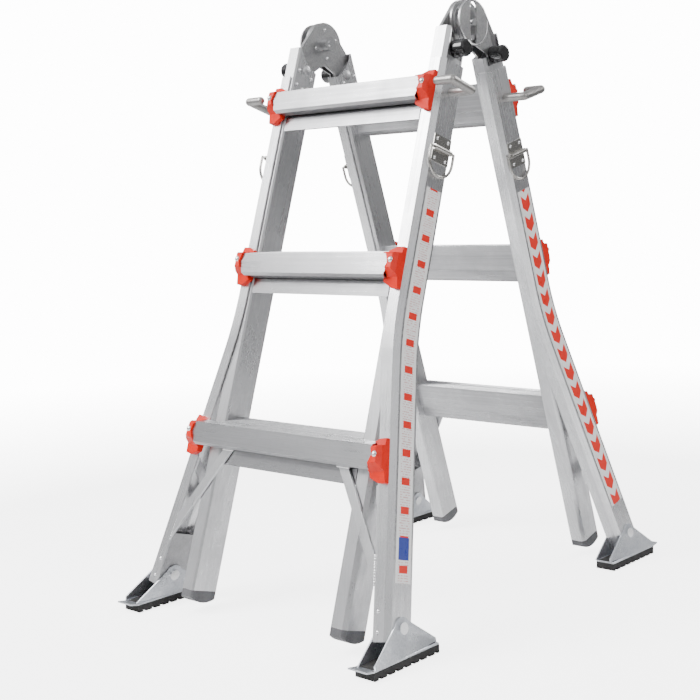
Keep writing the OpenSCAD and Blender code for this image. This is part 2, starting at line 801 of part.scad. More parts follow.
rear() labels();  // rear_labels
rear() left() inner_rail();  // rear_inner_rail_left
rear() inner_rail();  // rear_inner_rail_right
rear() inner_rungs();  // rear_inner_rungs
rear() inner_caps();  // rear_inner_caps
rear() both() rear_hinge_half();  // rear_hinge_halves
rear() hinge_rivet_set();  // rear_hinge_rivets
mirror([0, 1, 0]) left() shoe();  // rear_shoe_left
mirror([0, 1, 0]) shoe();  // rear_shoe_right
mirror([0, 1, 0]) left() sole();  // rear_sole_left
mirror([0, 1, 0]) sole();  // rear_sole_right
rear() shoe_bolts();  // rear_shoe_bolts
rear() lock_guides();  // rear_lock_guides
rear() left() tie_ring();  // rear_tie_ring_left
rear() tie_ring();  // rear_tie_ring_right
rear() left() lock_knob();  // rear_lock_knob_left
rear() lock_knob();  // rear_lock_knob_right
rear() left() lock_tab();  // rear_lock_tab_left
rear() lock_tab();  // rear_lock_tab_right
hinge_pins();
front() left() knob_pin();  // knob_pin_front_left
front() knob_pin();  // knob_pin_front_right
rear() left() knob_pin();  // knob_pin_rear_left
rear() knob_pin();  // knob_pin_rear_right
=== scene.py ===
# %% [markdown]
# # A multi position ladder
# Two telescoping sections of drawn aluminium meet at a pair of round locking hinges. Each section is a
# wide outer ladder, flared at its feet, that slides over a straight inner one. Here it stands as a step
# ladder, fully nested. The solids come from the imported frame, already in place. This notebook gives every
# piece rounded edges, fine details and a finish, then lights the ladder in a plain studio.
# %%
import math
import bmesh
import bpy
from mathutils import Matrix, Vector
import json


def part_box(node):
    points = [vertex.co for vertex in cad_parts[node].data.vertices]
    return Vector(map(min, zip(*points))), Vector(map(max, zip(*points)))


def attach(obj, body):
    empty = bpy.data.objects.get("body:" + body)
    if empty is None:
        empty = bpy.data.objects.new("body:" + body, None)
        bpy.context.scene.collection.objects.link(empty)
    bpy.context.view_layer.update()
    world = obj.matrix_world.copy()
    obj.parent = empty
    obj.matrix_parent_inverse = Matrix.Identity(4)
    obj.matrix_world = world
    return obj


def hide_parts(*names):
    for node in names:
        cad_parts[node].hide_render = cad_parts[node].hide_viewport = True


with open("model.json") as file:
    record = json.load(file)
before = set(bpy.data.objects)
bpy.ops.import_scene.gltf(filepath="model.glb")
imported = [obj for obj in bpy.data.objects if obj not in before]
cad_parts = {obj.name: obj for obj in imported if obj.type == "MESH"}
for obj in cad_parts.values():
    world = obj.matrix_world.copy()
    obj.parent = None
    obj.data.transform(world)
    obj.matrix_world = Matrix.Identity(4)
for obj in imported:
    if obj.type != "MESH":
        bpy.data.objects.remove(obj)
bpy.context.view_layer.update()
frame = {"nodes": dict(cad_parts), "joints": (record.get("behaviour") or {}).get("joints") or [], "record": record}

# %% [markdown]
# ## Sizes
# Each section has a frame of its own: `s` runs down the rails from the hinge axis and `n` stands out of
# the climbing face. The lean and the hinge height come from the joints. The other sizes repeat those of
# the solids, so they have to be changed here too when a solid changes.
# %%
JOINTS = {j["name"]: j for j in frame["joints"]}
PIVOT_Z = JOINTS["hinge_fold"]["pos_m"][2]
SLIDE = JOINTS["front_extension"]["axis"]
LEAN = math.atan2(SLIDE[1], SLIDE[2])
MM = 0.001
RUNG_PITCH = 304.8 * MM
RUNGS = [131 * MM + k * RUNG_PITCH for k in range(3)]
HALF_WIDTH = 200 * MM
RAIL_MID = 35.7 * MM
RUNG_FRONT, RUNG_BACK = 90 * MM, 68 * MM
INNER_FRONT, INNER_BACK = 62.3 * MM, 22 * MM
BEND_S, FLARE = 552 * MM, math.radians(10.5)
FLARE_START = (HALF_WIDTH + 10.05 * MM, 607.1 * MM)
FLARE_LENGTH, LIP_X = 422.6 * MM, 170.5 * MM
LOCK_S = 143 * MM
SECTIONS = {"front": 1, "rear": -1}
SIDES = {"left": -1, "right": 1}


def place(section, x, n, s):
    """A point of a section's own frame, in metres, as a point of the ladder."""
    y = -(math.sin(LEAN) * s + math.cos(LEAN) * n)
    return Vector((x, SECTIONS[section] * y, PIVOT_Z - math.cos(LEAN) * s + math.sin(LEAN) * n))


def flared(section, side, x, n, t):
    """A point of the flared lower rail: x across it, t down it from the end of the bend."""
    across = (x - HALF_WIDTH) * math.cos(FLARE) + t * math.sin(FLARE)
    down = t * math.cos(FLARE) - (x - HALF_WIDTH) * math.sin(FLARE)
    return place(section, side * (FLARE_START[0] + across), n, FLARE_START[1] + down)


print("hinge axis", round(PIVOT_Z, 4), "m up; lean", round(math.degrees(LEAN), 2), "degrees")

# %% [markdown]
# ## A small helper for shader nodes
# `Net` adds a node, sets or links each input by name, and hands back the node. A value is set on the
# socket itself, so that no node stands only for a number.
# %%
class Net:
    def __init__(self, tree):
        self.tree = tree

    def add(self, kind, inputs=None, **props):
        node = self.tree.nodes.new("ShaderNode" + kind)
        for key, value in props.items():
            setattr(node, key, value)
        for key, value in (inputs or {}).items():
            socket = node.inputs[key]
            if isinstance(value, bpy.types.NodeSocket):
                self.tree.links.new(value, socket)
            else:
                socket.default_value = value
        return node

    def math(self, how, a, b=None, clamp=False):
        values = {i: v for i, v in enumerate((a, b)) if v is not None}
        return self.add("Math", values, operation=how, use_clamp=clamp).outputs[0]

    def ramp(self, value, low, high, out_low=0.0, out_high=1.0):
        return self.add("MapRange", {"Value": value, "From Min": low, "From Max": high,
                        "To Min": out_low, "To Max": out_high}).outputs[0]

    def mix(self, factor, a, b):
        node = self.add("Mix", {0: factor, 6: a, 7: b}, data_type="RGBA")
        return node.outputs[2]


def rgb(r, g, b):
    return (r, g, b, 1.0)


def make_group(name, inputs, outputs):
    """An empty node group with named inputs {name: (type, value)} and outputs {name: type}."""
    tree = bpy.data.node_groups.new(name, "ShaderNodeTree")
    for key, (kind, value) in inputs.items():
        socket = tree.interface.new_socket(key, in_out="INPUT", socket_type="NodeSocket" + kind)
        if value is not None:
            socket.default_value = value
    for key, kind in outputs.items():
        tree.interface.new_socket(key, in_out="OUTPUT", socket_type="NodeSocket" + kind)
    net = Net(tree)
    return tree, net, tree.nodes.new("NodeGroupInput").outputs, tree.nodes.new("NodeGroupOutput").inputs


# %% [markdown]
# ## Shared effect: the section frame
# Drawn metal has its grain along the rail. This group turns a place on the ladder into the section's own
# `x, n, s`, and follows the flare below the bend, so that one grain fits the straight and the flared
# rail. Both sections mirror each other, so the distance from the middle plane stands for both.
# %%
def build_section_frame():
    tree, net, gin, gout = make_group("Section Frame", {
        "Lean": ("Float", LEAN), "Hinge Height": ("Float", PIVOT_Z), "Bend": ("Float", BEND_S),
        "Flare": ("Float", FLARE)}, {"Vector": "Vector"})
    place_in = net.add("TexCoord").outputs["Object"]
    xyz = net.add("SeparateXYZ", {0: place_in}).outputs
    y = net.math("ABSOLUTE", xyz["Y"])
    drop = net.math("SUBTRACT", gin["Hinge Height"], xyz["Z"])
    sin, cos = net.math("SINE", gin["Lean"]), net.math("COSINE", gin["Lean"])
    n = net.math("SUBTRACT", net.math("MULTIPLY", cos, y), net.math("MULTIPLY", sin, drop))
    s = net.math("ADD", net.math("MULTIPLY", sin, y), net.math("MULTIPLY", cos, drop))
    past = net.math("MAXIMUM", net.math("SUBTRACT", s, gin["Bend"]), 0.0)
    spread = net.math("MULTIPLY", past, net.math("TANGENT", gin["Flare"]))
    x = net.math("SUBTRACT", net.math("ABSOLUTE", xyz["X"]), spread)
    out = net.add("CombineXYZ", {"X": x, "Y": n, "Z": s}).outputs[0]
    net.tree.links.new(out, gout["Vector"])
    return tree


SECTION_FRAME = build_section_frame()

# %% [markdown]
# ## Shared effect: drawn metal
# Extruded aluminium carries long die lines, a finer satin grain and a soft cloudiness where the oxide
# film varies. Noise stretched along one axis gives the lines; the same noise feeds colour, roughness and
# height.
# %%
def build_drawn_metal():
    tree, net, gin, gout = make_group("Drawn Metal", {
        "Vector": ("Vector", None), "Along": ("Vector", (1.0, 1.0, 0.012)),
        "Light": ("Color", rgb(0.8, 0.8, 0.81)), "Dark": ("Color", rgb(0.6, 0.6, 0.61)),
        "Smooth": ("Float", 0.22), "Rough": ("Float", 0.42),
        "Lines": ("Float", 900.0), "Depth": ("Float", 0.00004)},
        {"Color": "Color", "Roughness": "Float", "Normal": "Vector"})
    lay = net.add("VectorMath", {0: gin["Vector"], 1: gin["Along"]}, operation="MULTIPLY").outputs[0]
    fine = net.add("TexNoise", {"Vector": lay, "Scale": gin["Lines"], "Detail": 3.0,
                   "Roughness": 0.6}).outputs[0]
    broad_scale = net.math("MULTIPLY", gin["Lines"], 0.17)
    broad = net.add("TexNoise", {"Vector": lay, "Scale": broad_scale, "Detail": 2.0}).outputs[0]
    cloud = net.add("TexNoise", {"Vector": gin["Vector"], "Scale": 14.0, "Detail": 4.0,
                    "Roughness": 0.6}).outputs[0]
    lines = net.math("ADD", net.math("MULTIPLY", fine, 0.55), net.math("MULTIPLY", broad, 0.45))
    tone = net.math("ADD", net.math("MULTIPLY", lines, 0.6), net.math("MULTIPLY", cloud, 0.4))
    tone = net.ramp(tone, 0.36, 0.62)
    net.tree.links.new(net.mix(tone, gin["Dark"], gin["Light"]), gout["Color"])
    rough = net.add("MapRange", {"Value": tone, "From Min": 0.0, "From Max": 1.0, "To Min": gin["Rough"],
                    "To Max": gin["Smooth"]}).outputs[0]
    net.tree.links.new(rough, gout["Roughness"])
    bump = net.add("Bump", {"Height": lines, "Distance": gin["Depth"], "Strength": 0.7}).outputs[0]
    net.tree.links.new(bump, gout["Normal"])
    return tree


DRAWN_METAL = build_drawn_metal()

# %% [markdown]
# ## Shared effect: cast or moulded grain
# Cast, plated and moulded surfaces have no direction. A fine pitted grain breaks the highlight and a
# broad one shifts the tone, so that a large face never reads as one flat colour.
# %%
def build_grain():
    tree, net, gin, gout = make_group("Fine Grain", {
        "Light": ("Color", rgb(0.7, 0.7, 0.7)), "Dark": ("Color", rgb(0.5, 0.5, 0.5)),
        "Scale": ("Float", 700.0), "Depth": ("Float", 0.00005),
        "Smooth": ("Float", 0.3), "Rough": ("Float", 0.5)},
        {"Color": "Color", "Roughness": "Float", "Normal": "Vector"})
    at = net.add("TexCoord").outputs["Object"]
    fine = net.add("TexNoise", {"Vector": at, "Scale": gin["Scale"], "Detail": 3.0}).outputs[0]
    broad = net.add("TexNoise", {"Vector": at, "Scale": 32.0, "Detail": 5.0, "Roughness": 0.65}).outputs[0]
    tone = net.math("ADD", net.math("MULTIPLY", fine, 0.4), net.math("MULTIPLY", broad, 0.6))
    tone = net.ramp(tone, 0.36, 0.64)
    net.tree.links.new(net.mix(tone, gin["Dark"], gin["Light"]), gout["Color"])
    rough = net.add("MapRange", {"Value": tone, "From Min": 0.0, "From Max": 1.0, "To Min": gin["Rough"],
                    "To Max": gin["Smooth"]}).outputs[0]
    net.tree.links.new(rough, gout["Roughness"])
    bump = net.add("Bump", {"Height": fine, "Distance": gin["Depth"], "Strength": 0.6}).outputs[0]
    net.tree.links.new(bump, gout["Normal"])
    return tree


FINE_GRAIN = build_grain()

# %% [markdown]
# ## Shared effect: wear and dust
# Edges are rubbed bright where hands and other pieces touch them. The mask compares the true normal with
# one that is rounded over a small radius. Dust gathers on faces that look up, and thickens near the
# ground.
# %%
def build_wear():
    tree, net, gin, gout = make_group("Edge Wear", {"Radius": ("Float", 0.0012), "Amount": ("Float", 0.6)},
                                      {"Mask": "Float"})
    soft = net.add("Bevel", {"Radius": gin["Radius"]}, samples=4).outputs[0]
    hard = net.add("NewGeometry").outputs["Normal"]
    same = net.add("VectorMath", {0: soft, 1: hard}, operation="DOT_PRODUCT").outputs["Value"]
    at = net.add("TexCoord").outputs["Object"]
    chips = net.add("TexNoise", {"Vector": at, "Scale": 160.0, "Detail": 4.0}).outputs[0]
    edge = net.ramp(same, 0.985, 0.88)
    mask = net.math("MULTIPLY", edge, net.ramp(chips, 0.35, 0.6))
    mask = net.math("MULTIPLY", mask, gin["Amount"], clamp=True)
    net.tree.links.new(mask, gout["Mask"])
    return tree


def build_dust():
    tree, net, gin, gout = make_group("Dust", {"Amount": ("Float", 0.25), "Reach": ("Float", 0.16)},
                                      {"Mask": "Float"})
    up = net.add("SeparateXYZ", {0: net.add("NewGeometry").outputs["Normal"]}).outputs["Z"]
    at = net.add("TexCoord").outputs["Object"]
    height = net.add("SeparateXYZ", {0: at}).outputs["Z"]
    low = net.add("MapRange", {"Value": height, "From Min": 0.0, "From Max": gin["Reach"], "To Min": 1.0,
                  "To Max": 0.25}).outputs[0]
    cloud = net.add("TexNoise", {"Vector": at, "Scale": 55.0, "Detail": 6.0, "Roughness": 0.7}).outputs[0]
    lie = net.math("MULTIPLY", net.ramp(up, -0.3, 0.9, 0.2, 1.0), net.ramp(cloud, 0.4, 0.7))
    mask = net.math("MULTIPLY", net.math("MULTIPLY", lie, low), gin["Amount"], clamp=True)
    net.tree.links.new(mask, gout["Mask"])
    return tree


EDGE_WEAR, DUST = build_wear(), build_dust()

# %% [markdown]
# ## Shared effect: printed strips
# The right-hand webs carry long printed strips. A plain pattern stands for them, with no letters or
# marks: small blocks between rows of thin bars and one blue block on the front section, bold chevrons
# on the rear one. Everything is worked out from the place along the rail.
# %%
PAPER = rgb(0.86, 0.85, 0.84)


def build_print():
    tree, net, gin, gout = make_group("Printed Strip", {
        "Vector": ("Vector", None), "Middle": ("Float", RAIL_MID), "Width": ("Float", 0.036)},
        {"Color": "Color"})
    xyz = net.add("SeparateXYZ", {0: gin["Vector"]}).outputs
    across = net.math("DIVIDE", net.math("SUBTRACT", xyz["Y"], gin["Middle"]), gin["Width"])
    s = xyz["Z"]
    off = net.math("ABSOLUTE", across)
    inside = net.math("LESS_THAN", off, 0.34)
    rows = net.math("LESS_THAN", net.math("FRACT", net.math("MULTIPLY", s, 260.0)), 0.4)
    cell = net.add("TexNoise", {"Vector": gin["Vector"], "Scale": 300.0, "Detail": 0.0}).outputs[0]
    ink = net.math("MULTIPLY", net.math("MULTIPLY", rows, net.math("GREATER_THAN", cell, 0.46)), inside)
    fine = net.mix(net.math("MULTIPLY", ink, 0.6), PAPER, rgb(0.5, 0.12, 0.12))
    block = net.math("LESS_THAN", net.math("FRACT", net.math("MULTIPLY", s, 23.0)), 0.26)
    fine = net.mix(net.math("MULTIPLY", block, net.math("LESS_THAN", off, 0.27)), fine, rgb(0.72, 0.02, 0.01))
    patch = net.math("MULTIPLY", net.math("GREATER_THAN", s, 0.872), net.math("LESS_THAN", s, 0.905))
    fine = net.mix(net.math("MULTIPLY", patch, inside), fine, rgb(0.03, 0.05, 0.3))
    slant = net.math("ADD", net.math("MULTIPLY", s, 27.0), net.math("MULTIPLY", off, 0.9))
    bold = net.math("MULTIPLY", net.math("LESS_THAN", net.math("FRACT", slant), 0.6), inside)
    bold = net.mix(bold, PAPER, rgb(0.75, 0.02, 0.01))
    at = net.add("TexCoord").outputs["Object"]
    front = net.math("LESS_THAN", net.add("SeparateXYZ", {0: at}).outputs["Y"], 0.0)
    net.tree.links.new(net.mix(front, bold, fine), gout["Color"])
    return tree


PRINTED_STRIP = build_print()

# %% [markdown]
# ## Materials
# One material for each slot of the record. The groups give colour, roughness and normal; the surface
# shader itself stays here, where it can be read at a glance.
# %%
def group_node(net, tree, inputs=None):
    node = net.add("Group", node_tree=tree)
    for key, value in (inputs or {}).items():
        if isinstance(value, bpy.types.NodeSocket):
            net.tree.links.new(value, node.inputs[key])
        else:
            node.inputs[key].default_value = value
    return node.outputs


def new_material(name):
    material = bpy.data.materials.new(name)
    material.use_nodes = True
    material.node_tree.nodes.clear()
    return material, Net(material.node_tree)


def surface(net, color, rough, normal, metallic, dust=0.2, **extra):
    """The Principled shader with dust over it. The dust is a dull film, so it hides the metal under it."""
    veil = group_node(net, DUST, {"Amount": dust})["Mask"]
    color = net.mix(veil, color, rgb(0.52, 0.49, 0.45))
    inputs = {"Base Color": color, "Normal": normal,
              "Roughness": net.math("ADD", rough, net.math("MULTIPLY", veil, 0.3), clamp=True),
              "Metallic": net.math("MULTIPLY", net.math("SUBTRACT", 1.0, veil), metallic)}
    inputs.update(extra)
    shader = net.add("BsdfPrincipled", inputs)
    out = net.add("OutputMaterial")
    net.tree.links.new(shader.outputs[0], out.inputs["Surface"])


def drawn(name, light, dark, smooth, rough, along=(1.0, 1.0, 0.012), dust=0.2):
    material, net = new_material(name)
    at = group_node(net, SECTION_FRAME)["Vector"]
    metal = group_node(net, DRAWN_METAL, {"Vector": at, "Along": along, "Light": rgb(*light),
                       "Dark": rgb(*dark), "Smooth": smooth, "Rough": rough})
    worn = group_node(net, EDGE_WEAR, {"Radius": 0.0009, "Amount": 0.5})["Mask"]
    color = net.mix(worn, metal["Color"], rgb(0.93, 0.93, 0.94))
    surface(net, color, metal["Roughness"], metal["Normal"], 1.0, dust)
    return material


def grained(name, light, dark, smooth, rough, metallic, scale=700.0, depth=0.00005, wear=0.5, worn_to=None,
            dust=0.2, **extra):
    material, net = new_material(name)
    grain = group_node(net, FINE_GRAIN, {"Light": rgb(*light), "Dark": rgb(*dark), "Scale": scale,
                       "Depth": depth, "Smooth": smooth, "Rough": rough})
    color = grain["Color"]
    if wear:
        mask = group_node(net, EDGE_WEAR, {"Amount": wear})["Mask"]
        color = net.mix(mask, color, rgb(*(worn_to or light)))
    surface(net, color, grain["Roughness"], grain["Normal"], metallic, dust, **extra)
    return material


# %% [markdown]
# The finishes. Rails are drawn metal with the grain along them and rungs have it across. The brackets are
# a satin orange-red moulding, the knobs a black one; shoes are zinc plated, so cooler and more spangled.
# %%
ACROSS = (0.012, 1.0, 1.0)
MATERIALS = {
    "rail_aluminium": drawn("Drawn rail", (0.86, 0.86, 0.87), (0.7, 0.7, 0.71), 0.2, 0.36, dust=0.05),
    "inner_rail_aluminium": drawn(
        "Drawn inner rail", (0.78, 0.78, 0.79), (0.6, 0.6, 0.61), 0.24, 0.4, dust=0.08),
    # Painted shade: the rungs are the rails' aluminium, but their colour is set darker to stand for the shade on
    # their faces.
    "rung_aluminium": drawn(
        "Drawn rung with painted shade", (0.5, 0.5, 0.51), (0.34, 0.34, 0.35), 0.24, 0.4, along=ACROSS, dust=0.08),
    "brace_aluminium": drawn(
        "Brace bar", (0.84, 0.84, 0.85), (0.62, 0.62, 0.63), 0.24, 0.4, along=(1.0, 1.0, 0.05)),
    "plug_aluminium": grained(
        "Cast plug", (0.6, 0.6, 0.61), (0.42, 0.42, 0.43), 0.4, 0.55, 1.0, worn_to=(0.8, 0.8, 0.8)),
    "hinge_aluminium": grained(
        "Tumbled hinge", (0.48, 0.48, 0.48), (0.3, 0.3, 0.31), 0.28, 0.44, 1.0, scale=420.0,
        depth=0.00012, wear=0.8, worn_to=(0.88, 0.88, 0.88)),
    "rivet_aluminium": grained(
        "Bright rivet", (0.88, 0.88, 0.88), (0.72, 0.72, 0.73), 0.16, 0.28, 1.0, wear=0),
    "bracket_plastic": grained(
        "Orange-red moulding", (0.78, 0.016, 0.002), (0.62, 0.009, 0.001), 0.36, 0.5, 0.0, scale=500.0,
        depth=0.00004, wear=0.15, worn_to=(0.88, 0.04, 0.01), dust=0.02, **{"Specular IOR Level": 0.25}),
    "cap_plastic": grained(
        "Grey moulding", (0.13, 0.13, 0.14), (0.08, 0.08, 0.084), 0.36, 0.52, 0.0, wear=0.3,
        worn_to=(0.26, 0.26, 0.27), dust=0.08),
    "knob_plastic": grained(
        "Black moulding", (0.01, 0.01, 0.011), (0.004, 0.004, 0.004), 0.12, 0.22, 0.0, wear=0.25,
        worn_to=(0.05, 0.05, 0.05), dust=0.02, **{"Coat Weight": 0.6}),
    "sole_rubber": grained(
        "Sole rubber", (0.022, 0.022, 0.022), (0.009, 0.009, 0.009), 0.6, 0.82, 0.0, scale=900.0,
        depth=0.0001, wear=0.3, worn_to=(0.06, 0.06, 0.058), dust=0.06),
    "shoe_steel": grained(
        "Zinc plate", (0.7, 0.72, 0.75), (0.5, 0.52, 0.56), 0.24, 0.42, 1.0, scale=300.0, depth=0.00003,
        wear=0.5, worn_to=(0.85, 0.86, 0.88)),
    "ring_steel": grained(
        "Stainless", (0.5, 0.485, 0.46), (0.36, 0.35, 0.33), 0.2, 0.34, 1.0, wear=0.2,
        worn_to=(0.7, 0.69, 0.67), dust=0.06),
    "pin_steel": grained(
        "Polished steel", (0.92, 0.92, 0.92), (0.8, 0.8, 0.81), 0.06, 0.14, 1.0, wear=0, dust=0.0),
    "tab_metal": grained(
        "Blasted casting", (0.44, 0.43, 0.42), (0.28, 0.27, 0.26), 0.36, 0.52, 1.0, scale=520.0,
        depth=0.0002, wear=0.8, worn_to=(0.75, 0.74, 0.72)),
}


def build_label():
    material, net = new_material("Printed film")
    at = group_node(net, SECTION_FRAME)["Vector"]
    color = group_node(net, PRINTED_STRIP, {"Vector": at})["Color"]
    grain = group_node(net, FINE_GRAIN, {"Smooth": 0.25, "Rough": 0.4})
    surface(net, color, grain["Roughness"], grain["Normal"], 0.0, 0.1)
    return material


MATERIALS["label_film"] = build_label()
print(len(MATERIALS), "materials")

# %% [markdown]
# ## Rounded edges on every piece
# No real edge is perfectly sharp. Each solid is copied, its flat faces are joined back into one face
# each, and its edges are rounded by a named width. Round bars and rivets need no rounding and keep the
# frame's own mesh.
# %%
ROUNDING = {"outer_rail": 0.45, "inner_rail": 0.4, "outer_rungs": 0.35, "inner_rungs": 0.35,
            "rung_brackets": 1.3, "braces": 0.7, "rail_plugs": 0.5, "tie_straps": 0.35, "inner_caps": 1.0,
            "hinge_halves": 0.7, "shoe_left": 0.4, "shoe_right": 0.4, "sole": 0.8}
SHARP_EDGE = 28
SLOT_OF = {part["node"]: part["material_slot"] for part in frame["record"]["subparts"]}
BODY_OF = {n: b for b, ns in frame["record"]["behaviour"]["bodies"].items() for n in ns}


def clean_mesh(source, name):
    """A copy of a solid's mesh with its triangles joined into flat faces."""
    mesh = bmesh.new()
    mesh.from_mesh(source)
    bmesh.ops.remove_doubles(mesh, verts=mesh.verts, dist=0.000002)
    bmesh.ops.dissolve_limit(mesh, angle_limit=math.radians(0.6), verts=mesh.verts, edges=mesh.edges)
    result = bpy.data.meshes.new(name)
    mesh.to_mesh(result)
    mesh.free()
    return result


def smooth(mesh, angle=SHARP_EDGE):
    mesh.shade_smooth()
    mesh.set_sharp_from_angle(angle=math.radians(angle))


def rounded(node_name, width):
    source = frame["nodes"][node_name]
    mesh = clean_mesh(source.data, node_name + "_round")
    smooth(mesh)
    obj = bpy.data.objects.new(node_name + "_round", mesh)
    bpy.context.scene.collection.objects.link(obj)
    edge = obj.modifiers.new("edges", "BEVEL")
    edge.width, edge.segments, edge.limit_method = width * MM, 3 if width > 1 else 2, "ANGLE"
    edge.angle_limit, edge.harden_normals = math.radians(SHARP_EDGE), True
    dress(obj, SLOT_OF[node_name], BODY_OF[node_name])
    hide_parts(node_name)


def dress(obj, slot, body):
    """Gives a new piece the finish of its slot and lets it move with its body."""
    obj.data.materials.clear()
    obj.data.materials.append(MATERIALS[slot])
    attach(obj, body)


for node_name, node in sorted(frame["nodes"].items()):
    width = next((w for key, w in ROUNDING.items() if key in node_name), None)
    if width:
        rounded(node_name, width)
    else:
        node.data.materials.clear()
        node.data.materials.append(MATERIALS[SLOT_OF[node_name]])
        for polygon in node.data.polygons:
            polygon.material_index = 0
print(len(frame["nodes"]), "solids dressed")

# %% [markdown]
# ## Ribs on the treads
# A rung's top is ribbed so that a shoe grips it. The ribs are drawn with the rung, so they are plain
# ridges that run its whole length. The ridge outline is a low trapezium swept along X.
# %%
RIB = dict(width=1.3 * MM, height=0.55 * MM, pitch=3.1 * MM)


def prism(mesh, outline, x0, x1):
    """A closed bar along X over an outline of points in the Y-Z plane."""
    ends = [[mesh.verts.new((x, p.y, p.z)) for p in outline] for x in (x0, x1)]
    count = len(outline)
    mesh.faces.new(ends[0][::-1])
    mesh.faces.new(ends[1])
    for i in range(count):
        j = (i + 1) % count
        mesh.faces.new((ends[0][i], ends[0][j], ends[1][j], ends[1][i]))


def finish_mesh(mesh, name, slot, body, angle=40):
    bmesh.ops.recalc_face_normals(mesh, faces=mesh.faces)
    data = bpy.data.meshes.new(name)
    mesh.to_mesh(data)
    mesh.free()
    smooth(data, angle)
    obj = bpy.data.objects.new(name, data)
    bpy.context.scene.collection.objects.link(obj)
    dress(obj, slot, body)


def tread_ribs(section, body, n_from, n_to, half_lengths):
    mesh = bmesh.new()
    for s, half in zip(RUNGS, half_lengths):
        n = n_from - 1.2 * RIB["pitch"] / 2
        while n > n_to + RIB["width"]:
            top = place(section, 0, n, s - (RUNG_FRONT - n) * math.tan(LEAN))
            w, h = RIB["width"] / 2, RIB["height"]
            outline = [top + Vector((0, -w, -0.0002)), top + Vector((0, w, -0.0002)),
                       top + Vector((0, w * 0.55, h)), top + Vector((0, -w * 0.55, h))]
            prism(mesh, outline, -half, half)
            n -= RIB["pitch"]
    finish_mesh(mesh, f"{section}_{body}_ribs", "rung_aluminium", f"{section}_{body}", 25)


for section in SECTIONS:
    tread_ribs(section, "outer", RUNG_FRONT, RUNG_BACK, (0.166, 0.166, 0.187))
    tread_ribs(section, "inner", INNER_FRONT, INNER_BACK, (0.1632, 0.1632, 0.1632))

# %% [markdown]
# ## Weld beads
# The braces are welded where they meet the last rung and the flange. A bead is a row of overlapping
# puddles, each a squashed ball, laid along the seam.
# %%
def puddle(mesh, centre, radius, flat, axis):
    """A squashed ball, thin along the axis of the face that it lies on."""
    turn = Vector((0, 0, 1)).rotation_difference(axis).to_matrix().to_4x4()
    matrix = Matrix.Translation(centre) @ turn @ Matrix.Diagonal((1, 1, flat, 1))
    bmesh.ops.create_uvsphere(mesh, u_segments=14, v_segments=9, radius=radius, matrix=matrix)


def bead(mesh, a, b, section, radius=0.0026, flat=0.6):
    count = max(2, round((b - a).length / (radius * 0.62)))
    out = (place(section, 0, 1, 0) - place(section, 0, 0, 0)).normalized()
    for i in range(count + 1):
        wobble = 1 + 0.09 * math.sin(i * 2.4)
        puddle(mesh, a.lerp(b, i / count), radius * wobble, flat, out)


LAST = RUNGS[2]
BRACE_ROOT, BRACE_FACE, BRACE_FOOT = 138 * MM, 68.4 * MM, FLARE_LENGTH - 100 * MM
for section in SECTIONS:
    mesh = bmesh.new()
    for sx in SIDES.values():
        under = LAST + 39.5 * MM
        bead(mesh, place(section, sx * (BRACE_ROOT - 0.012), BRACE_FACE, under),
             place(section, sx * (BRACE_ROOT + 0.012), BRACE_FACE, under), section)
        bead(mesh, flared(section, sx, LIP_X, BRACE_FACE - 0.001, BRACE_FOOT - 0.025),
             flared(section, sx, LIP_X, BRACE_FACE - 0.001, BRACE_FOOT + 0.017), section)
    finish_mesh(mesh, f"{section}_welds", "rivet_aluminium", f"{section}_outer")

# %% [markdown]
# ## Hinge highlight rims and studs
# The round hinge plates carry a painted highlight: a raised ring of bright metal swept round the hinge
# axis, half sunk in the plate, standing for the light caught on the plate's edge. Small studs stand
# round the pivot on the inner face, and a plain disc covers the inside of each lock.
# %%
def ring(mesh, x, radius, wire, turns=72, sides=10):
    loops = []
    for i in range(turns):
        a = 2 * math.pi * i / turns
        out = Vector((0, math.cos(a), math.sin(a)))
        centre = Vector((x, 0, PIVOT_Z)) + out * radius
        turned = (2 * math.pi * k / sides for k in range(sides))
        loops.append([mesh.verts.new(centre + out * wire * math.cos(b)
                                     + Vector((1, 0, 0)) * wire * 0.7 * math.sin(b)) for b in turned])
    for i in range(turns):
        for k in range(sides):
            l = (k + 1) % sides
            j = (i + 1) % turns
            mesh.faces.new((loops[i][k], loops[j][k], loops[j][l], loops[i][l]))


# The rim is a painted highlight: bright metal that stands for the light caught on the hinge plates' edges.
RIM_X, RIM_RADIUS, RIM_WIRE = 0.194, 0.0387, 0.0011
STUD_X, STUD_CIRCLE, STUD_RADIUS = 0.1656, 0.027, 0.0032
highlight_rims = bmesh.new()
studs = bmesh.new()
for sx in SIDES.values():
    ring(highlight_rims, sx * RIM_X, RIM_RADIUS, RIM_WIRE)
    for angle in (20, 95, 200, 275):
        a = math.radians(angle)
        stud = Vector((sx * STUD_X, STUD_CIRCLE * math.cos(a), PIVOT_Z + STUD_CIRCLE * math.sin(a)))
        puddle(studs, stud, STUD_RADIUS, 0.5, Vector((1, 0, 0)))
finish_mesh(highlight_rims, "hinge_highlight_rims", "rivet_aluminium", "rear_inner")
finish_mesh(studs, "hinge_studs", "rivet_aluminium", "front_inner")


def disc(mesh, centre, radius, thick, axis, steps=40):
    """A flat round cover with a chamfered edge, standing on a face."""
    turn = Vector((0, 0, 1)).rotation_difference(axis).to_matrix().to_4x4()
    matrix = Matrix.Translation(centre) @ turn
    wall, rim = thick * 0.6, radius - thick * 0.5
    for r1, r2, z, h in ((radius, radius, 0, wall), (radius, rim, wall, thick * 0.4)):
        bmesh.ops.create_cone(mesh, cap_ends=True, segments=steps, radius1=r1, radius2=r2, depth=h,
                              matrix=matrix @ Matrix.Translation((0, 0, z + h / 2)))


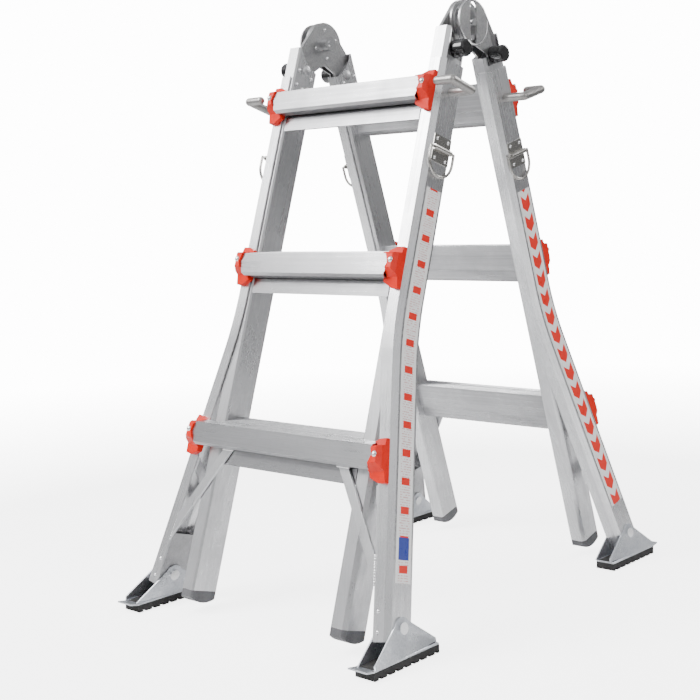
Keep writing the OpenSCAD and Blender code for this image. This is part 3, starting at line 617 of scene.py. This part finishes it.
COVER_X, COVER_S, COVER_RADIUS, COVER_THICK = 163.5 * MM, 68 * MM, 9.5 * MM, 1.4 * MM
for section in SECTIONS:
    mesh = bmesh.new()
    for sx in SIDES.values():
        centre = place(section, sx * COVER_X, RAIL_MID, COVER_S)
        disc(mesh, centre, COVER_RADIUS, COVER_THICK, Vector((-sx, 0, 0)))
    finish_mesh(mesh, f"{section}_lock_covers", "plug_aluminium", f"{section}_inner")

# %% [markdown]
# ## Pads in the shoes
# A thin dark pad of rubber lies on each shoe's base plate, between the side plates.
# %%
PLATE_TOP, PAD_THICK = 15.5 * MM, 1.0 * MM
PAD_MARGIN_X, PAD_MARGIN_Y = 11 * MM, 6 * MM
for section in SECTIONS:
    for side in SIDES:
        low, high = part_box(f"{section}_sole_{side}")
        mesh = bmesh.new()
        size = Vector((high.x - low.x - PAD_MARGIN_X, high.y - low.y - PAD_MARGIN_Y, PAD_THICK))
        centre = Vector(((low.x + high.x) / 2, (low.y + high.y) / 2, PLATE_TOP + size.z / 2))
        matrix = Matrix.Translation(centre) @ Matrix.Diagonal((*size, 1))
        bmesh.ops.create_cube(mesh, size=1, matrix=matrix)
        bmesh.ops.bevel(mesh, geom=mesh.edges[:], offset=0.3 * MM, segments=2, affect="EDGES")
        finish_mesh(mesh, f"{section}_pad_{side}", "sole_rubber", f"{section}_shoe_{side}")

# %% [markdown]
# ## Lock tab welds
# Each J-shaped tab is a shaft, a cross bar and a finger bar joined at two corners, with a bead on each
# corner.
# %%
TAB_X, TAB_N = 244 * MM, RAIL_MID + 52 * MM
CORNER_IN, BEAD_RADIUS = 6.2 * MM, 3.4 * MM
for section in SECTIONS:
    for side, sx in SIDES.items():
        mesh = bmesh.new()
        for n, lean_in in ((RAIL_MID, 1), (TAB_N, -1)):
            corner = place(section, sx * (TAB_X - CORNER_IN), n + lean_in * CORNER_IN, LOCK_S)
            puddle(mesh, corner, BEAD_RADIUS, 0.8, Vector((0, 0, 1)))
        finish_mesh(mesh, f"{section}_tab_welds_{side}", "tab_metal", f"{section}_lock_tab_{side}")

# %% [markdown]
# ## The studio
# A pale floor that fades into a white surround, one large soft key light high on the left, a weaker one
# on the right and a strip behind. The metal needs something darker to mirror, so rays that aren't seen
# straight from the camera meet a graded grey room in place of plain white.
# %%
def build_floor():
    bpy.ops.mesh.primitive_circle_add(vertices=96, radius=14, fill_type="NGON")
    floor = bpy.context.object
    floor.name = "floor"
    material, net = new_material("Pale floor")
    at = net.add("TexCoord").outputs["Object"]
    far = net.add("VectorMath", {0: at}, operation="LENGTH").outputs["Value"]
    fleck = net.add("TexNoise", {"Vector": at, "Scale": 5.0, "Detail": 6.0}).outputs[0]
    color = net.mix(net.ramp(fleck, 0.3, 0.7), rgb(0.86, 0.86, 0.865), rgb(0.89, 0.89, 0.89))
    seen = net.add("LightPath").outputs["Is Camera Ray"]
    glow = net.math("MULTIPLY", seen, 4.0)
    matte = net.add("BsdfPrincipled", {"Base Color": color, "Roughness": 0.55, "Specular IOR Level": 0.2,
                    "Emission Color": rgb(1.0, 1.0, 1.0), "Emission Strength": glow})
    clear = net.add("BsdfTransparent")
    mix = net.add("MixShader", {0: net.ramp(far, 1.2, 3.2), 1: matte.outputs[0], 2: clear.outputs[0]})
    net.tree.links.new(mix.outputs[0], net.add("OutputMaterial").inputs["Surface"])
    floor.data.materials.append(material)


def build_world():
    world = bpy.data.worlds.new("studio")
    world.use_nodes = True
    world.node_tree.nodes.clear()
    bpy.context.scene.world = world
    net = Net(world.node_tree)
    look = net.add("SeparateXYZ", {0: net.add("TexCoord").outputs["Generated"]}).outputs
    sky = net.ramp(look["Z"], -0.25, 0.7, 0.12, 0.9)
    side = net.ramp(look["X"], -1.0, 1.0, 1.4, 0.85)
    front = net.ramp(look["Y"], -1.0, 1.0, 1.15, 0.7)
    level = net.math("MULTIPLY", net.math("MULTIPLY", sky, side), front)
    room = net.add("Background", {"Color": rgb(0.97, 0.98, 1.0), "Strength": level})
    white = net.add("Background", {"Color": rgb(1.0, 1.0, 1.0), "Strength": 14.0})
    seen = net.add("LightPath").outputs["Is Camera Ray"]
    mix = net.add("MixShader", {0: seen, 1: room.outputs[0], 2: white.outputs[0]})
    net.tree.links.new(mix.outputs[0], net.add("OutputWorld").inputs["Surface"])


def soft_light(name, at, aim, size, power):
    data = bpy.data.lights.new(name, "AREA")
    data.shape, data.size, data.size_y, data.energy = "RECTANGLE", size[0], size[1], power
    light = bpy.data.objects.new(name, data)
    light.location = at
    light.rotation_euler = (Vector(aim) - Vector(at)).to_track_quat("-Z", "Y").to_euler()
    bpy.context.scene.collection.objects.link(light)


build_floor()
build_world()
soft_light("key", (-1.6, -2.6, 3.0), (0, 0, 0.5), (2.2, 2.2), 230)
soft_light("fill", (3.2, -0.6, 1.9), (0, 0, 0.5), (1.6, 2.4), 40)
soft_light("strip", (0.6, 3.0, 2.2), (0, 0, 0.6), (2.6, 0.8), 50)

# %% [markdown]
# ## The camera
# It stands at knee height in front of the right-hand feet, a little below the hinges, so that the near
# flared leg is large and the rear section shows between the rungs.
# %%
CAMERA_FROM_HINGE = Vector((1.4943, -1.6671, -0.3341))
YAW, PITCH, ROLL = 0.666, -0.036, -0.025
camera_data = bpy.data.cameras.new("camera")
camera = bpy.data.objects.new("camera", camera_data)
bpy.context.scene.collection.objects.link(camera)
ahead = Vector((-math.sin(YAW) * math.cos(PITCH), math.cos(YAW) * math.cos(PITCH), math.sin(PITCH)))
right = Vector((math.cos(YAW), math.sin(YAW), 0))
above = right.cross(ahead)
right, above = (right * math.cos(ROLL) + above * math.sin(ROLL),
                above * math.cos(ROLL) - right * math.sin(ROLL))
camera.matrix_world = Matrix.Translation(CAMERA_FROM_HINGE + Vector((0, 0, PIVOT_Z))) @ Matrix(
    (right, above, -ahead)).transposed().to_4x4()
camera_data.sensor_width = 36
camera_data.lens = 62.6
camera_data.shift_x, camera_data.shift_y = -0.179, -0.129
camera_data.clip_start, camera_data.clip_end = 0.05, 60
bpy.context.scene.camera = camera
